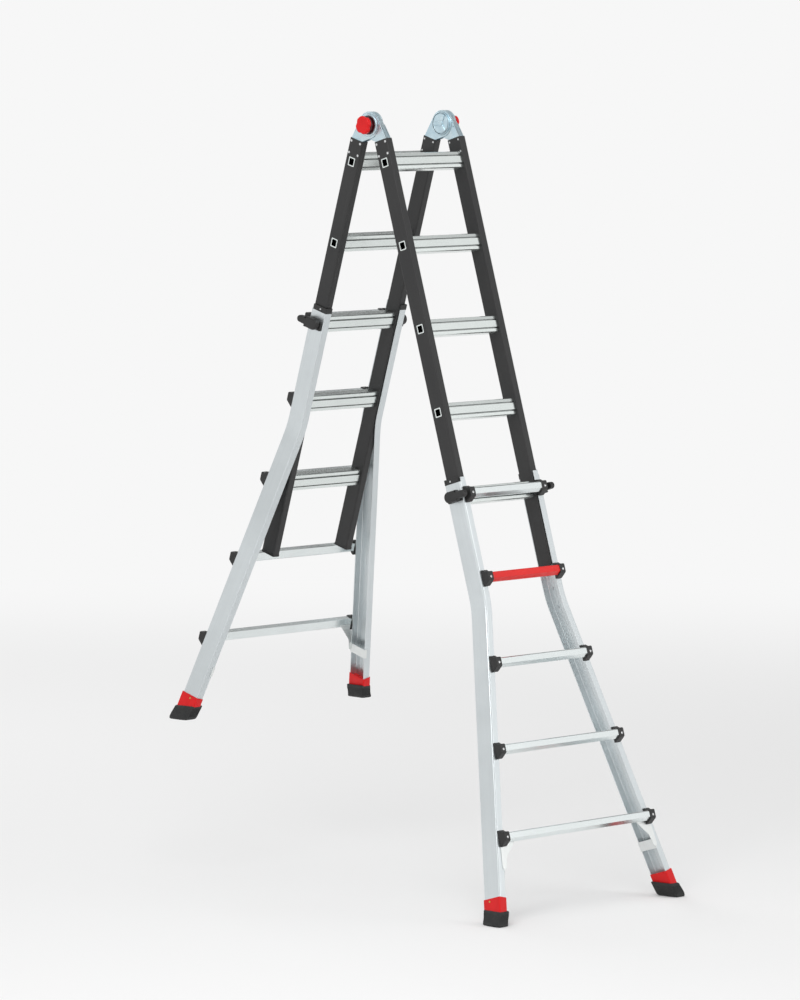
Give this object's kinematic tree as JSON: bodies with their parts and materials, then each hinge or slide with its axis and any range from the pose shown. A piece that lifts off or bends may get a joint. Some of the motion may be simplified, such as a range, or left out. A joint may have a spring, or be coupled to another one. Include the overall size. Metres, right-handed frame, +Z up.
{
  "type": "multi position ladder",
  "caption": "Telescopic folding ladder: two black inner ladders on locking top hinges, with flared silver outer ladders that slide on them and lock at each rung.",
  "frame": {"origin": "centre of the footprint, on the ground that the front shoes stand on", "axes": "+Z up; X along the rungs, parallel to the hinge axis; -Y towards the front leg and +Y towards the rear leg"},
  "size_m": [0.9042, 1.5108, 2.5698],
  "materials": {
    "black_aluminium": "powder-coated satin black aluminium",
    "aluminium": "mill-finish extruded aluminium, satin",
    "rung_aluminium": "extruded aluminium, satin with fine drawing lines",
    "red_rung": "red powder coat on aluminium",
    "zinc_steel": "blue zinc plate on pressed steel",
    "steel_rivet": "bright steel rivet",
    "spring_steel": "spring steel wire",
    "black_plastic": "moulded black nylon",
    "red_plastic": "moulded red plastic, satin",
    "shoe_rubber": "moulded black rubber, fine ribs"
  },
  "bodies": {
    "front_inner": {"front_inner_stile_left": "black_aluminium", "front_inner_stile_right": "black_aluminium", "front_inner_rung_1": "rung_aluminium", "front_inner_rung_2": "rung_aluminium", "front_inner_rung_3": "rung_aluminium", "front_inner_rung_4": "rung_aluminium", "front_inner_rung_5": "rung_aluminium", "front_inner_end_plugs": "black_plastic", "front_hinge_plates_left": "zinc_steel", "front_hinge_plates_right": "zinc_steel", "front_hinge_rivets": "steel_rivet", "hinge_pivot_bushes": "steel_rivet"},
    "rear_inner": {"rear_inner_stile_left": "black_aluminium", "rear_inner_stile_right": "black_aluminium", "rear_inner_rung_1": "rung_aluminium", "rear_inner_rung_2": "rung_aluminium", "rear_inner_rung_3": "rung_aluminium", "rear_inner_rung_4": "rung_aluminium", "rear_inner_rung_5": "rung_aluminium", "rear_inner_end_plugs": "black_plastic", "rear_hinge_plates_left": "zinc_steel", "rear_hinge_plates_right": "zinc_steel", "rear_hinge_rivets": "steel_rivet", "hinge_springs": "spring_steel"},
    "hinge_lock_left": {"hinge_knob_left": "red_plastic", "lock_spider_left": "zinc_steel"},
    "hinge_lock_right": {"hinge_knob_right": "red_plastic", "lock_spider_right": "zinc_steel"},
    "front_outer": {"front_outer_stile_left": "aluminium", "front_outer_stile_right": "aluminium", "front_outer_rung_1": "rung_aluminium", "front_outer_rung_2": "red_rung", "front_outer_rung_3": "rung_aluminium", "front_outer_rung_4": "rung_aluminium", "front_outer_rung_5": "rung_aluminium", "front_rung_brackets": "black_plastic", "front_outer_rivets": "steel_rivet", "front_stile_guides": "black_plastic", "front_knee_braces": "aluminium", "front_foot_collars": "red_plastic", "front_foot_shoes": "shoe_rubber", "front_lock_housings": "black_plastic"},
    "rear_outer": {"rear_outer_stile_left": "aluminium", "rear_outer_stile_right": "aluminium", "rear_outer_rung_1": "rung_aluminium", "rear_outer_rung_2": "rung_aluminium", "rear_outer_rung_3": "rung_aluminium", "rear_outer_rung_4": "rung_aluminium", "rear_outer_rung_5": "rung_aluminium", "rear_rung_brackets": "black_plastic", "rear_outer_rivets": "steel_rivet", "rear_stile_guides": "black_plastic", "rear_knee_braces": "aluminium", "rear_foot_collars": "red_plastic", "rear_foot_shoes": "shoe_rubber", "rear_lock_housings": "black_plastic"},
    "slide_lock_front_left": {"lock_handle_front_left": "black_plastic"},
    "slide_lock_front_right": {"lock_handle_front_right": "black_plastic"},
    "slide_lock_rear_left": {"lock_handle_rear_left": "black_plastic"},
    "slide_lock_rear_right": {"lock_handle_rear_right": "black_plastic"}
  },
  "joints": [
    {"name": "hinge_fold", "type": "hinge", "parent": "front_inner", "child": "rear_inner", "pos_m": [0, 0.07999, 2.52582], "axis": [1, 0, 0], "range_deg": [-33.2, 146.8]},
    {"name": "front_extend", "type": "slide", "parent": "front_inner", "child": "front_outer", "axis": [0, -0.2857, -0.9583], "range_m": [-1.12, 0]},
    {"name": "rear_extend", "type": "slide", "parent": "rear_inner", "child": "rear_outer", "axis": [0, 0.2857, -0.9583], "range_m": [-0.56, 0.56]},
    {"name": "hinge_lock_left_press", "type": "slide", "parent": "rear_inner", "child": "hinge_lock_left", "axis": [1, 0, 0], "range_m": [0, 0.008], "stiffness_N_per_m": 1500},
    {"name": "hinge_lock_right_press", "type": "slide", "parent": "rear_inner", "child": "hinge_lock_right", "axis": [-1, 0, 0], "range_m": [0, 0.008], "stiffness_N_per_m": 1500},
    {"name": "slide_lock_front_left_pull", "type": "slide", "parent": "front_outer", "child": "slide_lock_front_left", "axis": [-1, 0, 0], "range_m": [0, 0.02], "stiffness_N_per_m": 800},
    {"name": "slide_lock_front_right_pull", "type": "slide", "parent": "front_outer", "child": "slide_lock_front_right", "axis": [1, 0, 0], "range_m": [0, 0.02], "stiffness_N_per_m": 800},
    {"name": "slide_lock_rear_left_pull", "type": "slide", "parent": "rear_outer", "child": "slide_lock_rear_left", "axis": [-1, 0, 0], "range_m": [0, 0.02], "stiffness_N_per_m": 800},
    {"name": "slide_lock_rear_right_pull", "type": "slide", "parent": "rear_outer", "child": "slide_lock_rear_right", "axis": [1, 0, 0], "range_m": [0, 0.02], "stiffness_N_per_m": 800}
  ]
}
